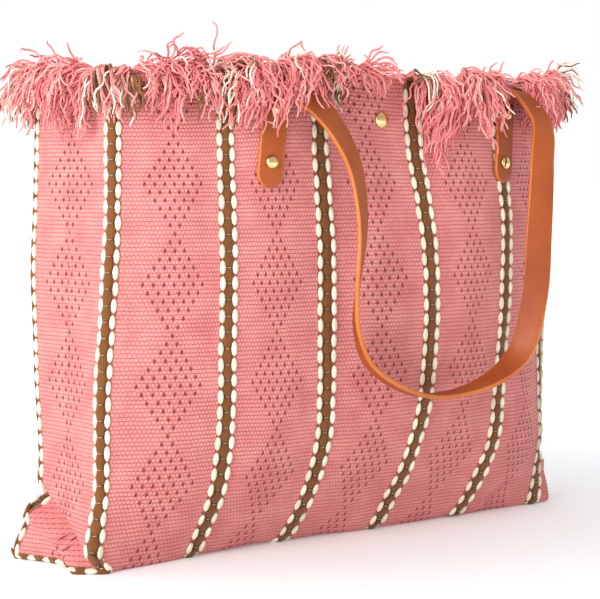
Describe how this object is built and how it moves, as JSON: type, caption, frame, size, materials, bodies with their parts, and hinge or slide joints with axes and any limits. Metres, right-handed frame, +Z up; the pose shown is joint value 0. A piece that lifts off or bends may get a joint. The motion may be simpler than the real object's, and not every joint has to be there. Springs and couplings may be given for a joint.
{
  "type": "beach bag",
  "caption": "Puffed handwoven cotton tote with boxed corners, a yarn fringe round the mouth, stitched leather strap handles and a magnetic snap.",
  "frame": {"origin": "on the ground under the middle of the bag", "axes": "+Z up, +X along the bag's width, -Y out of the front face with the snap's socket half"},
  "size_m": [0.473, 0.2844, 0.373],
  "materials": {
    "cotton": "handwoven pink cotton with brown and cream warp stripes",
    "lining": "plain cream cotton lining",
    "yarn": "soft unspun pink, brown and cream yarn",
    "leather": "tan leather, satin, painted edges",
    "gold": "polished pale gold",
    "magnet": "nickelled"
  },
  "bodies": {
    "root": {"back_rivet_cap_1": "gold", "back_rivet_cap_2": "gold", "back_rivet_cap_3": "gold", "back_rivet_cap_4": "gold", "back_rivet_inner_cap_1": "gold", "back_rivet_inner_cap_2": "gold", "back_rivet_inner_cap_3": "gold", "back_rivet_inner_cap_4": "gold", "back_strap_end_1": "leather", "back_strap_end_2": "leather", "fringe_back_beside_mouth": "yarn", "fringe_back_corner": "yarn", "fringe_back_far_corner": "yarn", "fringe_front_beside_mouth": "yarn", "fringe_front_corner": "yarn", "fringe_front_far_corner": "yarn", "fringe_left_side": "yarn", "fringe_right_side": "yarn", "front_rivet_cap_1": "gold", "front_rivet_cap_2": "gold", "front_rivet_cap_3": "gold", "front_rivet_cap_4": "gold", "front_rivet_inner_cap_1": "gold", "front_rivet_inner_cap_2": "gold", "front_rivet_inner_cap_3": "gold", "front_rivet_inner_cap_4": "gold", "front_strap_end_1": "leather", "front_strap_end_2": "leather", "lining_back": "lining", "lining_base": "lining", "lining_front": "lining", "lining_left_side": "lining", "lining_right_side": "lining", "woven_back": "cotton", "woven_base": "cotton", "woven_front": "cotton", "woven_left_side": "cotton", "woven_right_side": "cotton"},
    "front_mouth": {"woven_front_mouth": "cotton", "lining_front_mouth": "lining", "fringe_front_mouth": "yarn", "front_snap_cap": "gold", "snap_socket": "gold", "snap_magnet": "magnet"},
    "back_mouth": {"woven_back_mouth": "cotton", "lining_back_mouth": "lining", "fringe_back_mouth": "yarn", "back_snap_cap": "gold", "snap_stud": "gold"},
    "front_handle": {"front_handle_loop": "leather"},
    "back_handle": {"back_handle_loop": "leather"}
  },
  "joints": [
    {"name": "front_mouth_close", "type": "slide", "parent": "root", "child": "front_mouth", "axis": [0, 1, 0], "range_m": [0, 0.0748]},
    {"name": "back_mouth_close", "type": "slide", "parent": "root", "child": "back_mouth", "axis": [0, -1, 0], "range_m": [0, 0.0748]},
    {"name": "front_handle_swing", "type": "hinge", "parent": "root", "child": "front_handle", "pos_m": [0.003, -0.1005, 0.3455], "axis": [-1, 0, 0], "range_deg": [0, 170]},
    {"name": "back_handle_swing", "type": "hinge", "parent": "root", "child": "back_handle", "pos_m": [-0.003, 0.1005, 0.3455], "axis": [1, 0, 0], "range_deg": [0, 170]}
  ],
  "couplings": [
    {"joint": "back_mouth_close", "follows": "front_mouth_close", "ratio": 1}
  ]
}
